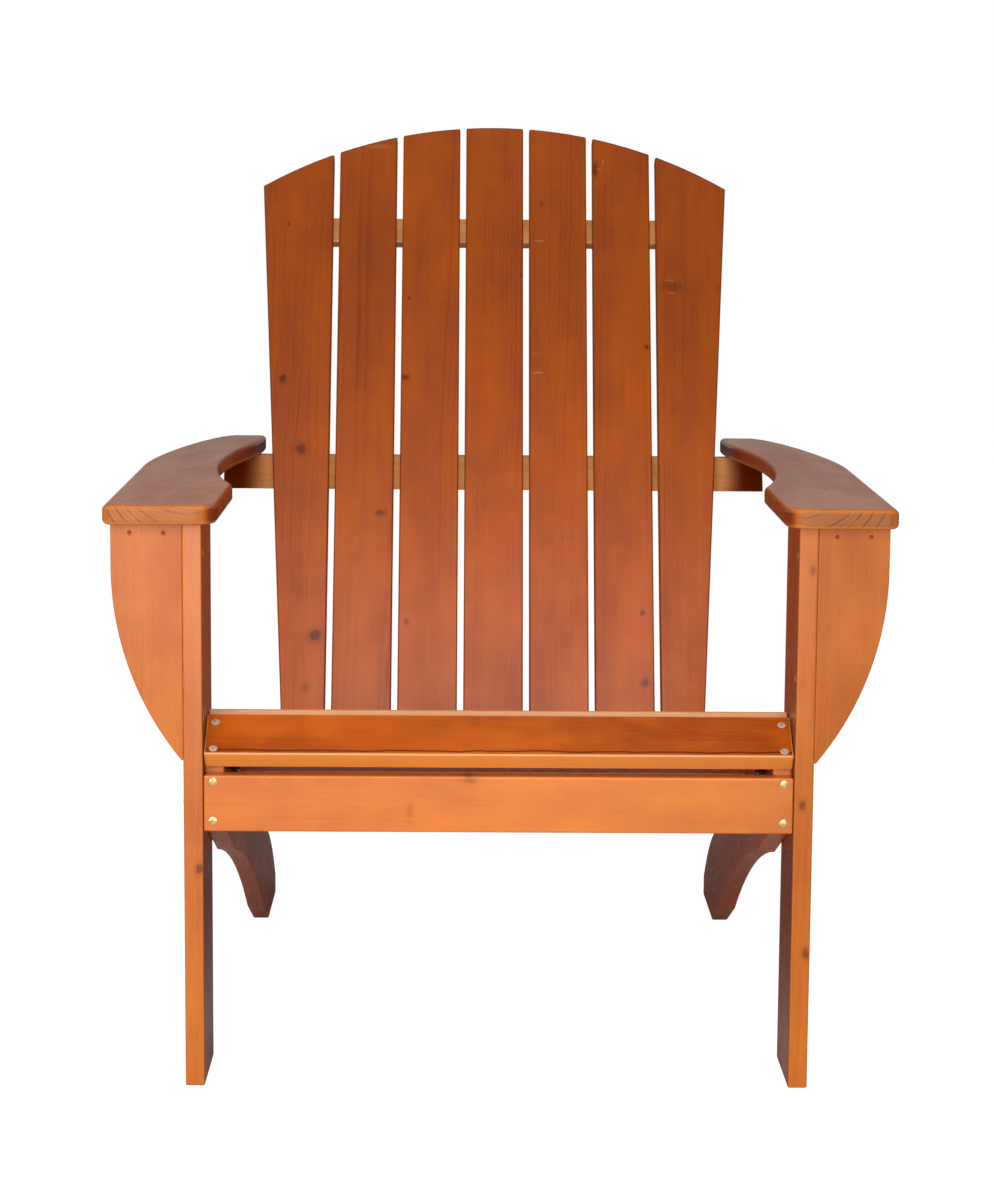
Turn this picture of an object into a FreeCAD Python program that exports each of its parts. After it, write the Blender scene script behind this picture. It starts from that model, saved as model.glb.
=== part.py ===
import FreeCAD, Part
import math
import os
from FreeCAD import Placement, Rotation, Vector

# Adirondack chair in millimetres: X to the sitter's left, Y to the rear, Z up.
# It is built with Y = 0 on the front edges of the legs, and moved at the end so
# that the origin lies on the floor under the centre of the whole chair.

# Boards
board_thick = 18.5          # legs, side rails, brackets, apron and slats
edge_round = 2.0            # eased edges of every board except the armrests
fit_gap = 0.5               # each end of a board that fits between the front legs

# Front legs and the arm brackets on their outer faces
inner_width = 558.0         # between the inner faces of the front legs
leg_depth = 101.0
arm_height = 541.5          # top of the legs, underside of the armrests
bracket_width = 66.5
bracket_straight = 41.5     # upright part of its outer edge
bracket_radius = 291.0      # sweep of its lower edge

# Seat: the side rails run from the knee behind the front slat down to the back
knee_height = 338.6
seat_back_height = 158.9    # top edge of the rails where the back slats pass
seat_length = 491.4         # along the rails, from the knee to the back slats
seat_slat_count = 8
seat_slat_gap = 8.0
seat_slat_first_gap = 1.0
seat_slat_back_gap = 5.0
front_slat_width = 54.0
front_slat_tilt = 34.0      # degrees above level
apron_height = 54.0

# Side rails
rail_width = 97.0
scallop_depth = 17.0
scallop_front_margin = 141.0
scallop_toe_margin = 98.0
foot_length = 120.5         # flat on the floor
tail_length = 78.0          # straight top edge behind the foot rail
heel_run = 129.0            # level length of the curved drop to the heel
heel_height = 24.0

# Back
back_lean = 22.7            # degrees from upright
back_length = 827.6         # along the slats, from the side rails to the crown
crown_radius = 528.0
back_slat_count = 7
back_slat_gap = 7.1
back_side_gap = 26.65       # between the outer slats' feet and the side rails
outer_foot_narrowing = 24.4
outer_splay = 3.0           # degrees, outer edge of the outer slats
slat_foot_drop = 9.7        # slats pass this far below the rails' top edge

# Cross rails behind the back slats
upper_rail_width = 30.5
upper_rail_drop = 109.2     # from the crown to the rail's top edge
upper_rail_inset = 16.0     # from the outer slats' outer edges
arm_rail_height = 37.5
arm_rail_depth = 22.0       # along its top face
arm_rail_past_leg = 34.0
foot_rail_size = 38.0

# Armrests
arm_thick = 18.5
arm_round = 5.0
arm_front_overhang = 18.0
arm_rear_overhang = 37.0
arm_inner_overhang = 14.5   # past the inner face of the leg
arm_outer_overhang = 6.0    # past the bracket
arm_elbow_from_rear = 361.6
arm_elbow_flare = 4.5
arm_waist_from_rear = 321.6
arm_waist_setback = 30.5
arm_hip_run = 120.0         # half the length of the hollow beside the sitter's hip
arm_rear_setback = 3.5
arm_rear_width = 35.0       # straight part of the rear end
arm_elbow_pull = 108.5      # reach of the control points of its freehand curves
arm_rear_pull = 31.5
arm_waist_pull = 154.4
arm_tail_pull = 96.5
arm_inner_corner = 25.0
arm_outer_corner = 10.0
arm_rear_corner = 8.0
arm_hip_corner = 40.0

# Fasteners
hole_clearance = 0.1
screw_shank = 1.9           # radius
screw_head = 3.9            # radius
screw_head_depth = 2.6
screw_dome = 0.6
screw_dome_bulge = 0.12     # of the dome's profile, square to its chord
screw_tip = 6.0
recess_width = 1.1
recess_length = 4.6
recess_depth = 1.5
frame_screw_length = 42.0   # apron, brackets and arm rail
front_slat_screw_length = 30.0
slat_screw_length = 38.0    # seat slats
upper_screw_length = 31.0
foot_screw_length = 50.0
foot_end_screw_length = 64.0
arm_screw_length = 50.0
apron_screw_pitch = 37.5
apron_screw_rise = 2.0
front_slat_screw_pitch = 35.3
front_slat_screw_drop = 2.5
seat_slat_screw_pitch = 32.0
back_slat_screw_pitch = 26.0
bracket_screw_drops = (28.0, 145.0, 184.0)
nail_radius = 1.0
nail_head = 1.9
nail_length = 21.0
nail_drop = 9.0
nail_angle = 45.0           # upwards, from the bracket into the armrest
nail_places = (17.0, 48.5)  # from the leg's outer face
bolt_radius = 4.0
bolt_head_radius = 8.5
bolt_head_height = 3.4
bolt_neck = 3.0             # square neck under the head
bolt_end = 3.0              # thread past the nut
washer_radius = 9.0
washer_thick = 1.6
nut_flats = 13.0
nut_height = 6.5
bolt_front_inset = 17.0
bolt_rear_inset = 24.0
bolt_stagger = 14.0

# Sizes that follow from the ones above
leg_inner = inner_width / 2
leg_outer = leg_inner + board_thick
rail_inner = leg_inner - board_thick
rail_middle = leg_inner - board_thick / 2
bracket_outer = leg_outer + bracket_width
tilt = math.radians(front_slat_tilt)
lean = math.radians(back_lean)
seat_slope = math.asin((knee_height - seat_back_height) / seat_length)
knee_y = front_slat_width * math.cos(tilt) + board_thick * math.sin(tilt)
back_y = knee_y + seat_length * math.cos(seat_slope)
slat_depth_y = board_thick / math.cos(lean)
foot_half = rail_inner - back_side_gap
back_slat_width = (2 * foot_half + 2 * outer_foot_narrowing
                   - (back_slat_count - 1) * back_slat_gap) / back_slat_count
back_slat_pitch = back_slat_width + back_slat_gap
seat_slat_width = (seat_length - seat_slat_first_gap - seat_slat_back_gap
                   - (seat_slat_count - 1) * seat_slat_gap) / seat_slat_count
seat_slat_half = leg_inner - fit_gap
bolt_grip = 2 * board_thick


def rail_top(y):
    if y < knee_y:
        return knee_height - (knee_y - y) * math.tan(tilt)
    return knee_height - (y - knee_y) * math.tan(seat_slope)


def rail_bottom(y):
    drop = rail_width / math.cos(seat_slope)
    return knee_height - drop - (y - knee_y) * math.tan(seat_slope)


def back_front_y(z):
    return back_y + (z - seat_back_height) * math.tan(lean)


def line(a, b):
    return Part.LineSegment(a, b).toShape()


def arc(a, middle, b):
    return Part.Arc(a, middle, b).toShape()


def sagged_arc(a, b, sag):
    # circular edge from a to b whose middle lies off the chord by the vector sag
    return arc(a, (a + b) * 0.5 + sag, b)


def bezier(poles):
    curve = Part.BezierCurve()
    curve.setPoles(poles)
    return curve.toShape()


def extrude(edges, way):
    return Part.Face(Part.Wire(edges)).extrude(way)


def polygon_prism(points, way):
    return Part.Face(Part.makePolygon(points + points[:1])).extrude(way)


def eased(shape, radius=edge_round):
    return shape.makeFillet(radius, shape.Edges)


def board(half_length, y0, z0, width, thick):
    # board across the chair, in the plane that it is laid out in
    return eased(Part.makeBox(2 * half_length, width, thick, Vector(-half_length, y0, z0)))


def turned(shape, degrees, y, z):
    # from a plane laid out flat to its real slope about X, at the height it starts from
    shape.Placement = Placement(Vector(0, y, z), Rotation(Vector(1, 0, 0), degrees))
    return shape


def direction(degrees):
    # unit vector in the YZ plane, at an angle above the +Y direction
    return Vector(0, math.cos(math.radians(degrees)), math.sin(math.radians(degrees)))


def mirrored(shape):
    return shape.mirror(Vector(0, 0, 0), Vector(1, 0, 0))


def both_sides(points):
    return points + [Vector(-p.x, p.y, p.z) for p in points]


def drilled(shape, holes):
    return shape.cut(Part.makeCompound(holes)).Solids[0]


# Fasteners, laid out along +Z with the surface of the wood at Z = 0

def revolved(points):
    face = Part.Face(Part.makePolygon(points + points[:1]))
    return face.revolve(Vector(0, 0, 0), Vector(0, 0, 1), 360)


def screw(length):
    chord = Vector(screw_head, 0, screw_dome)
    bulge = Vector(screw_dome, 0, -screw_head) * (screw_dome_bulge / chord.Length)
    dome = sagged_arc(Vector(0, 0, -screw_dome), Vector(screw_head, 0, 0), bulge)
    corners = [Vector(screw_head, 0, 0), Vector(screw_shank, 0, screw_head_depth),
               Vector(screw_shank, 0, length - screw_tip), Vector(0, 0, length),
               Vector(0, 0, -screw_dome)]
    edges = [dome] + [line(a, b) for a, b in zip(corners, corners[1:])]
    body = Part.Face(Part.Wire(edges)).revolve(Vector(0, 0, 0), Vector(0, 0, 1), 360)
    slot = Part.makeBox(recess_length, recess_width, 2 * recess_depth,
                        Vector(-recess_length / 2, -recess_width / 2, -recess_depth))
    cross = slot.copy()
    cross.rotate(Vector(0, 0, 0), Vector(0, 0, 1), 90)
    return body.cut(slot.fuse(cross)).Solids[0]


def screw_hole(length):
    shank = screw_shank + hole_clearance
    head = screw_head + hole_clearance
    rim = screw_head
    return revolved([Vector(0, 0, -rim), Vector(head, 0, -rim), Vector(head, 0, 0),
                     Vector(shank, 0, screw_head_depth), Vector(shank, 0, length - screw_tip),
                     Vector(0, 0, length + hole_clearance)])


def nail():
    head = Part.makeCylinder(nail_head, nail_radius)
    shank = Part.makeCylinder(nail_radius, nail_length)
    return head.fuse(shank).removeSplitter()


def nail_hole():
    head = Part.makeCylinder(nail_head + hole_clearance, 2 * nail_head + nail_radius,
                             Vector(0, 0, -2 * nail_head))
    shank = Part.makeCylinder(nail_radius + hole_clearance, nail_length + hole_clearance)
    return head.fuse(shank)


def carriage_bolt():
    radius = (bolt_head_radius ** 2 + bolt_head_height ** 2) / (2 * bolt_head_height)
    ball = Part.makeSphere(radius, Vector(0, 0, radius - bolt_head_height))
    cap = Part.makeCylinder(bolt_head_radius, bolt_head_height, Vector(0, 0, -bolt_head_height))
    neck = Part.makeBox(2 * bolt_radius, 2 * bolt_radius, bolt_neck,
                        Vector(-bolt_radius, -bolt_radius, 0))
    shank = Part.makeCylinder(bolt_radius, bolt_grip + washer_thick + nut_height + bolt_end)
    return ball.common(cap).fuse([neck, shank]).removeSplitter()


def bolt_hole():
    square = bolt_radius + hole_clearance
    neck = Part.makeBox(2 * square, 2 * square, bolt_neck + hole_clearance,
                        Vector(-square, -square, 0))
    return neck.fuse(Part.makeCylinder(square, bolt_grip))


def washer():
    ring = Part.makeCylinder(washer_radius, washer_thick, Vector(0, 0, bolt_grip))
    return ring.cut(Part.makeCylinder(bolt_radius + hole_clearance, bolt_grip + washer_thick))


def nut():
    corner = nut_flats / math.sqrt(3)
    start = bolt_grip + washer_thick
    corners = [Vector(corner * math.cos(math.radians(60 * k)),
                      corner * math.sin(math.radians(60 * k)), start) for k in range(6)]
    body = polygon_prism(corners, Vector(0, 0, nut_height))
    return body.cut(Part.makeCylinder(bolt_radius + hole_clearance, start + nut_height))


def at_each(shape, places, way):
    # copies of a fastener with their heads at the given places, driven along way
    turn = Rotation(Vector(0, 0, 1), way)
    copies = []
    for place in places:
        copy = shape.copy()
        copy.Placement = Placement(place, turn)
        copies.append(copy)
    return copies


def at_both_sides(shape, places, way):
    # the places are on the +X side and way is mirrored on the other one
    across = Vector(-way.x, way.y, way.z)
    others = [Vector(-p.x, p.y, p.z) for p in places]
    return at_each(shape, places, way) + at_each(shape, others, across)


# Where the fasteners go, as places of their heads on the +X side or across the chair

def apron_screw_places():
    middle = rail_bottom(board_thick) + apron_height / 2 + apron_screw_rise
    half = apron_screw_pitch / 2
    return both_sides([Vector(rail_middle, 0, middle - half), Vector(rail_middle, 0, middle + half)])


def front_slat_point(along):
    # point on the upper face of the tilted front slat
    front_z = knee_height - front_slat_width * math.sin(tilt) + board_thick * math.cos(tilt)
    return Vector(rail_middle, 0, front_z) + direction(front_slat_tilt) * along


def front_slat_screw_places():
    middle = front_slat_width / 2 - front_slat_screw_drop
    half = front_slat_screw_pitch / 2
    return both_sides([front_slat_point(middle - half), front_slat_point(middle + half)])


def seat_slat_start(index):
    return seat_slat_first_gap + index * (seat_slat_width + seat_slat_gap)


def seat_point(x, along, height):
    # along the rails' top edge from the knee, and square to it
    slope = math.degrees(seat_slope)
    knee = Vector(x, knee_y, knee_height)
    return knee + direction(-slope) * along + direction(90 - slope) * height


def seat_slat_screw_places(index):
    middle = seat_slat_start(index) + seat_slat_width / 2
    half = seat_slat_screw_pitch / 2
    return both_sides([seat_point(rail_middle, middle - half, board_thick),
                       seat_point(rail_middle, middle + half, board_thick)])


def back_point(x, along, depth):
    # along the back slats from the rails' top edge, and behind their front face
    start = Vector(x, back_y, seat_back_height)
    return start + direction(90 - back_lean) * along + direction(-back_lean) * depth


def back_slat_screw_xs(along):
    # two screws in each slat, on its middle line at that height
    xs = []
    for index in range(back_slat_count):
        left, right = slat_sides(index, along)
        middle = (left + right) / 2
        xs += [middle - back_slat_screw_pitch / 2, middle + back_slat_screw_pitch / 2]
    return xs


def upper_screw_places():
    along = back_length - upper_rail_drop - upper_rail_width / 2
    return [back_point(x, along, 2 * board_thick) for x in back_slat_screw_xs(along)]


def foot_screw_places():
    along = foot_rail_size / 2
    return [back_point(x, along, board_thick + foot_rail_size) for x in back_slat_screw_xs(along)]


def arm_rail_rear_y():
    return back_front_y(arm_height) + slat_depth_y + arm_rail_depth


def arm_rail_screw_places():
    z = arm_height - arm_rail_height / 2
    along = (z - seat_back_height) / math.cos(lean)
    return [Vector(x, arm_rail_rear_y(), z) for x in back_slat_screw_xs(along)]


def foot_end_screw_places():
    # from the top of the foot rail down into the side rails
    along = seat_length + slat_depth_y + foot_rail_size / 2
    return both_sides([seat_point(rail_middle, along, foot_rail_size)])


def arm_screw_places():
    # from below, through the ends of the arm rail
    inner = leg_inner + board_thick / 2
    z = arm_height - arm_rail_height
    y = arm_rail_rear_y() - arm_rail_depth / 2
    return both_sides([Vector(inner, y, z)])


def bracket_screw_places():
    y = board_thick / 2
    return [Vector(leg_inner, y, arm_height - drop) for drop in bracket_screw_drops]


def nail_places_on_brackets():
    z = arm_height - nail_drop
    return both_sides([Vector(leg_outer + place, 0, z) for place in nail_places])


def bolt_places():
    front = board_thick + bolt_front_inset
    rear = leg_depth - bolt_rear_inset
    places = []
    for y, shift in ((front, -bolt_stagger), (rear, bolt_stagger)):
        middle = (rail_top(y) + rail_bottom(y)) / 2
        places.append(Vector(leg_outer, y, middle + shift))
    return places


forward = Vector(0, -1, 0)
rearward = Vector(0, 1, 0)
upward = Vector(0, 0, 1)
outward = Vector(1, 0, 0)
inward = Vector(-1, 0, 0)
nail_way = direction(nail_angle)
tilt_way = direction(front_slat_tilt - 90)
seat_way = direction(-90 - math.degrees(seat_slope))
slats_way = direction(180 - back_lean)


# Frame

def front_leg():
    leg = eased(Part.makeBox(board_thick, leg_depth, arm_height, Vector(leg_inner, 0, 0)))
    holes = at_each(screw_hole(frame_screw_length), bracket_screw_places(), outward)
    holes += at_each(bolt_hole(), bolt_places(), inward)
    return drilled(leg, holes)


def arm_bracket():
    low = arm_height - bracket_straight
    centre_x = bracket_outer - bracket_radius
    tip_z = low - math.sqrt(bracket_radius ** 2 - (leg_outer - centre_x) ** 2)
    turn = math.asin((low - tip_z) / bracket_radius) / 2
    middle = Vector(centre_x + bracket_radius * math.cos(turn), 0,
                    low - bracket_radius * math.sin(turn))
    corners = [Vector(leg_outer, 0, tip_z), Vector(leg_outer, 0, arm_height),
               Vector(bracket_outer, 0, arm_height), Vector(bracket_outer, 0, low)]
    edges = [line(a, b) for a, b in zip(corners, corners[1:])]
    edges.append(arc(corners[3], middle, corners[0]))
    bracket = eased(extrude(edges, Vector(0, board_thick, 0)), edge_round / 2)
    holes = at_each(screw_hole(frame_screw_length), bracket_screw_places(), outward)
    holes += at_each(nail_hole(), nail_places_on_brackets(), nail_way)
    return drilled(bracket, holes)


def side_rail():
    toe_y = knee_y + (knee_height - rail_width / math.cos(seat_slope)) / math.tan(seat_slope)
    foot_rail_end = back_y + slat_depth_y + foot_rail_size
    heel_y = max(toe_y + foot_length, foot_rail_end + tail_length + heel_run)
    sweep = Vector(rail_inner, heel_y - heel_run, rail_top(heel_y - heel_run))
    heel = Vector(rail_inner, heel_y, heel_height)
    along = direction(-math.degrees(seat_slope))
    square = direction(-math.degrees(seat_slope) + 90)
    chord = heel - sweep
    turn = chord.getAngle(along)
    sag = square * (chord.Length / 2 * math.tan(turn / 2))
    front = Vector(rail_inner, board_thick, rail_bottom(board_thick))
    toe = Vector(rail_inner, toe_y, 0)
    scallop_front = front + along * scallop_front_margin
    scallop_toe = toe - along * scallop_toe_margin
    edges = [line(front, Vector(rail_inner, board_thick, rail_top(board_thick))),
             line(Vector(rail_inner, board_thick, rail_top(board_thick)),
                  Vector(rail_inner, knee_y, knee_height)),
             line(Vector(rail_inner, knee_y, knee_height), sweep),
             sagged_arc(sweep, heel, sag),
             line(heel, Vector(rail_inner, heel_y, 0)),
             line(Vector(rail_inner, heel_y, 0), toe),
             line(toe, scallop_toe),
             sagged_arc(scallop_toe, scallop_front, square * scallop_depth),
             line(scallop_front, front)]
    rail = eased(extrude(edges, Vector(board_thick, 0, 0)), edge_round)
    holes = at_each(screw_hole(frame_screw_length), apron_screw_places(), rearward)
    holes += at_each(screw_hole(front_slat_screw_length), front_slat_screw_places(), tilt_way)
    for index in range(seat_slat_count):
        holes += at_each(screw_hole(slat_screw_length), seat_slat_screw_places(index), seat_way)
    holes += at_each(screw_hole(foot_end_screw_length), foot_end_screw_places(), seat_way)
    holes += at_each(bolt_hole(), bolt_places(), inward)
    return drilled(rail, holes)


def front_apron():
    bottom = rail_bottom(board_thick)
    box = Part.makeBox(2 * seat_slat_half, board_thick, apron_height,
                       Vector(-seat_slat_half, 0, bottom))
    holes = at_each(screw_hole(frame_screw_length), apron_screw_places(), rearward)
    return drilled(eased(box), holes)


# Seat

def front_seat_slat():
    slat = board(seat_slat_half, -front_slat_width, 0, front_slat_width, board_thick)
    slat = turned(slat, front_slat_tilt, knee_y, knee_height)
    holes = at_each(screw_hole(front_slat_screw_length), front_slat_screw_places(), tilt_way)
    return drilled(slat, holes)


def seat_slat(index):
    slat = board(seat_slat_half, seat_slat_start(index), 0, seat_slat_width, board_thick)
    slat = turned(slat, -math.degrees(seat_slope), knee_y, knee_height)
    holes = at_each(screw_hole(slat_screw_length), seat_slat_screw_places(index), seat_way)
    return drilled(slat, holes)


# Back slats, laid out flat: X across, Y along the slat from the rails, front face at Z = 0

def crown_y(x):
    return back_length - crown_radius + math.sqrt(crown_radius ** 2 - x ** 2)


def slat_sides(index, along):
    # the slat's two edges at a height along the back, -X edge first
    place = index - (back_slat_count - 1) / 2
    left = place * back_slat_pitch - back_slat_width / 2
    right = left + back_slat_width
    spread = (along + slat_foot_drop) * math.tan(math.radians(outer_splay)) - outer_foot_narrowing
    if index == 0:
        left -= spread
    if index == back_slat_count - 1:
        right += spread
    return left, right


def crown_corner(index, side):
    # where the slat's edge meets the crown, on the -X side for 0 and the +X side for 1;
    # each depends on the other, so x settles in a few rounds
    rounds = 20
    x = slat_sides(index, back_length)[side]
    for _ in range(rounds):
        x = slat_sides(index, crown_y(x))[side]
    return Vector(x, crown_y(x), 0)


def back_slat(index):
    left, right = slat_sides(index, -slat_foot_drop)
    top_left = crown_corner(index, 0)
    top_right = crown_corner(index, 1)
    middle_x = (top_left.x + top_right.x) / 2
    foot_left = Vector(left, -slat_foot_drop, 0)
    foot_right = Vector(right, -slat_foot_drop, 0)
    edges = [line(top_left, foot_left), line(foot_left, foot_right), line(foot_right, top_right),
             arc(top_right, Vector(middle_x, crown_y(middle_x), 0), top_left)]
    slat = eased(extrude(edges, Vector(0, 0, -board_thick)))
    slat = turned(slat, 90 - back_lean, back_y, seat_back_height)
    return drilled(slat, back_slat_holes())


def back_slat_holes():
    holes = at_each(screw_hole(upper_screw_length), upper_screw_places(), slats_way)
    holes += at_each(screw_hole(foot_screw_length), foot_screw_places(), slats_way)
    holes += at_each(screw_hole(frame_screw_length), arm_rail_screw_places(), forward)
    return holes


# Cross rails

def upper_back_rail():
    top = back_length - upper_rail_drop
    half = slat_sides(back_slat_count - 1, top)[1] - upper_rail_inset
    rail = board(half, top - upper_rail_width, -2 * board_thick, upper_rail_width, board_thick)
    rail = turned(rail, 90 - back_lean, back_y, seat_back_height)
    return drilled(rail, at_each(screw_hole(upper_screw_length), upper_screw_places(), slats_way))


def arm_rail():
    half = leg_inner + arm_rail_past_leg
    front = back_front_y(arm_height) + slat_depth_y
    low = arm_height - arm_rail_height
    foot = back_front_y(low) + slat_depth_y
    rear = arm_rail_rear_y()
    corners = [Vector(-half, front, arm_height), Vector(-half, rear, arm_height),
               Vector(-half, rear, low), Vector(-half, foot, low)]
    rail = eased(polygon_prism(corners, Vector(2 * half, 0, 0)), edge_round / 2)
    holes = at_each(screw_hole(frame_screw_length), arm_rail_screw_places(), forward)
    holes += at_each(screw_hole(arm_screw_length), arm_screw_places(), upward)
    return drilled(rail, holes)


def foot_rail():
    # on the side rails, bevelled to lie flat against the back slats
    half = leg_inner
    slant = back_point(-half, 1, 0) - back_point(-half, 0, 0)
    square = seat_point(0, 0, 1) - seat_point(0, 0, 0)
    seat_line = seat_point(0, 1, 0) - seat_point(0, 0, 0)
    start = back_point(-half, 0, 0) + seat_line * (board_thick / abs(seat_line.dot(direction(-back_lean))))
    low_rear = start + seat_line * foot_rail_size
    corners = [start, start + slant * (foot_rail_size / slant.dot(square)),
               low_rear + square * foot_rail_size, low_rear]
    rail = eased(polygon_prism(corners, Vector(2 * half, 0, 0)))
    holes = at_each(screw_hole(foot_screw_length), foot_screw_places(), slats_way)
    holes += at_each(screw_hole(foot_end_screw_length), foot_end_screw_places(), seat_way)
    return drilled(rail, holes)


# Armrests

def armrest():
    inner = leg_inner - arm_inner_overhang
    outer = bracket_outer + arm_outer_overhang
    waist = inner + arm_waist_setback
    rear_inner = inner + arm_rear_setback
    front = -arm_front_overhang
    rear = arm_rail_rear_y() + arm_rear_overhang
    waist_y = rear - arm_waist_from_rear
    hip_y = waist_y - 2 * arm_hip_run
    elbow = Vector(outer + arm_elbow_flare, rear - arm_elbow_from_rear, arm_height)
    flare = (elbow - Vector(outer, front, arm_height)).normalize()
    rear_outer = Vector(rear_inner + arm_rear_width, rear, arm_height)
    hip_sweep = (arm_waist_setback ** 2 + 4 * arm_hip_run ** 2) / (2 * arm_waist_setback)
    hip_bow = hip_sweep - math.sqrt(hip_sweep ** 2 - arm_hip_run ** 2)
    edges = [line(Vector(inner, front, arm_height), Vector(outer, front, arm_height)),
             line(Vector(outer, front, arm_height), elbow),
             bezier([elbow, elbow + flare * arm_elbow_pull,
                     rear_outer + Vector(arm_rear_pull, 0, 0), rear_outer]),
             line(rear_outer, Vector(rear_inner, rear, arm_height)),
             line(Vector(rear_inner, rear, arm_height),
                  Vector(rear_inner, rear - 2 * arm_rear_corner, arm_height)),
             bezier([Vector(rear_inner, rear - 2 * arm_rear_corner, arm_height),
                     Vector(rear_inner, rear - arm_tail_pull, arm_height),
                     Vector(waist, waist_y + arm_waist_pull, arm_height),
                     Vector(waist, waist_y, arm_height)]),
             arc(Vector(waist, waist_y, arm_height),
                 Vector(waist - hip_bow, waist_y - arm_hip_run, arm_height),
                 Vector(inner, hip_y, arm_height)),
             line(Vector(inner, hip_y, arm_height), Vector(inner, front, arm_height))]
    arm = extrude(edges, Vector(0, 0, arm_thick))
    arm = corner_rounded(arm, inner, front, arm_inner_corner)
    arm = corner_rounded(arm, outer, front, arm_outer_corner)
    arm = corner_rounded(arm, rear_inner, rear, arm_rear_corner)
    arm = corner_rounded(arm, inner, hip_y, arm_hip_corner)
    level = [edge for edge in arm.Edges if edge.BoundBox.ZLength < arm_thick / 2]
    arm = arm.makeFillet(arm_round, level)
    holes = at_each(screw_hole(arm_screw_length), arm_screw_places(), upward)
    holes += at_each(nail_hole(), nail_places_on_brackets(), nail_way)
    return drilled(arm, holes)


def corner_rounded(arm, x, y, radius):
    # rounds the upright edge of the armrest nearest to (x, y)
    upright = [edge for edge in arm.Edges if edge.BoundBox.ZLength > arm_thick / 2]
    corner = min(upright, key=lambda edge: math.hypot(edge.CenterOfMass.x - x,
                                                      edge.CenterOfMass.y - y))
    return arm.makeFillet(radius, [corner])


def build():
    parts = {}
    pairs = {"front_leg": front_leg(), "arm_bracket": arm_bracket(),
             "side_rail": side_rail(), "armrest": armrest()}
    for name, shape in pairs.items():
        parts[name + "_left"] = shape
        parts[name + "_right"] = mirrored(shape)
    parts["front_apron"] = front_apron()
    parts["front_seat_slat"] = front_seat_slat()
    seat_screws = []
    for index in range(seat_slat_count):
        parts["seat_slat_%d" % (index + 1)] = seat_slat(index)
        seat_screws += at_each(screw(slat_screw_length), seat_slat_screw_places(index), seat_way)
    for index in range(back_slat_count):
        parts["back_slat_%d" % (index + 1)] = back_slat(index)
    parts["upper_back_rail"] = upper_back_rail()
    parts["arm_rail"] = arm_rail()
    parts["foot_rail"] = foot_rail()

    frame_screw = screw(frame_screw_length)
    groups = {
        "apron_screws": at_each(frame_screw, apron_screw_places(), rearward),
        "front_slat_screws": at_each(screw(front_slat_screw_length),
                                     front_slat_screw_places(), tilt_way),
        "seat_slat_screws": seat_screws,
        "upper_rail_screws": at_each(screw(upper_screw_length), upper_screw_places(), slats_way),
        "arm_rail_screws": at_each(frame_screw, arm_rail_screw_places(), forward),
        "foot_rail_screws": at_each(screw(foot_screw_length), foot_screw_places(), slats_way),
        "foot_rail_end_screws": at_each(screw(foot_end_screw_length),
                                        foot_end_screw_places(), seat_way),
        "armrest_screws": at_each(screw(arm_screw_length), arm_screw_places(), upward),
        "bracket_screws": at_both_sides(frame_screw, bracket_screw_places(), outward),
        "bracket_nails": at_each(nail(), nail_places_on_brackets(), nail_way),
        "leg_bolts": at_both_sides(carriage_bolt(), bolt_places(), inward),
        "leg_washers": at_both_sides(washer(), bolt_places(), inward),
        "leg_nuts": at_both_sides(nut(), bolt_places(), inward),
    }
    for name, solids in groups.items():
        parts[name] = Part.makeCompound(solids)
    return parts


def write(parts):
    whole = Part.makeCompound(list(parts.values())).optimalBoundingBox()
    shift = Vector(0, -(whole.YMin + whole.YMax) / 2, 0)
    os.makedirs("parts", exist_ok=True)
    for name, shape in parts.items():
        moved = shape.copy()
        moved.translate(shift)
        moved.exportStep("parts/%s.step" % name)
    print("width %.1f depth %.1f height %.1f, seat boards %.1f wide, back boards %.1f wide"
          % (whole.XLength, whole.YLength, whole.ZMax, seat_slat_width, back_slat_width))


write(build())
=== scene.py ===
import bpy
import math
import random
from mathutils import Matrix, Vector


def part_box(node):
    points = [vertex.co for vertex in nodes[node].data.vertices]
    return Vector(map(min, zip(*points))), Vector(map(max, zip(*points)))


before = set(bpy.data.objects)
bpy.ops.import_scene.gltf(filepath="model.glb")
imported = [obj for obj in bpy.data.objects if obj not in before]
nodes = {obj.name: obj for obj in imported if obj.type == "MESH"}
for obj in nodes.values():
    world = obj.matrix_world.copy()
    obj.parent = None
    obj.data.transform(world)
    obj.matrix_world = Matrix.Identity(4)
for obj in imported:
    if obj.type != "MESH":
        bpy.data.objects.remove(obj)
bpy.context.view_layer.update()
print("frame loaded with", len(nodes), "nodes")

upright = Vector((0, 0, 1))
acrossChair = Vector((1, 0, 0))
rearward = Vector((0, 1, 0))

# degrees: how steeply the seat falls and the front slat rises to the rear, and how far the back leans
slopes = {"seat": 21.45, "frontSlat": 34.0, "back": 22.7}


def inPlane(degrees):
    # unit vector in the YZ plane, at an angle above +Y
    return Vector((0, math.cos(math.radians(degrees)), math.sin(math.radians(degrees))))


def boardTurn(grain, face):
    # the rotation that takes x to the grain, z to the board's face and y across it
    across = face.cross(grain)
    return Matrix((grain, across, face)).transposed().to_euler()


def put(tree, kind, feeds=None, **settings):
    # adds a node; feeds gives its inputs, each a fixed value or the socket that drives it
    node = tree.nodes.new(kind)
    for key, value in settings.items():
        setattr(node, key, value)
    for key, value in (feeds or {}).items():
        if isinstance(value, bpy.types.NodeSocket):
            tree.links.new(value, node.inputs[key])
        else:
            node.inputs[key].default_value = value
    return node


def calc(tree, operation, a, b=0.0, c=0.0, clamp=False):
    node = put(tree, "ShaderNodeMath", {0: a, 1: b, 2: c}, operation=operation, use_clamp=clamp)
    return node.outputs[0]


def times(tree, a, b):
    return calc(tree, "MULTIPLY", a, b)


def plus(tree, a, b):
    return calc(tree, "ADD", a, b)


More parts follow.
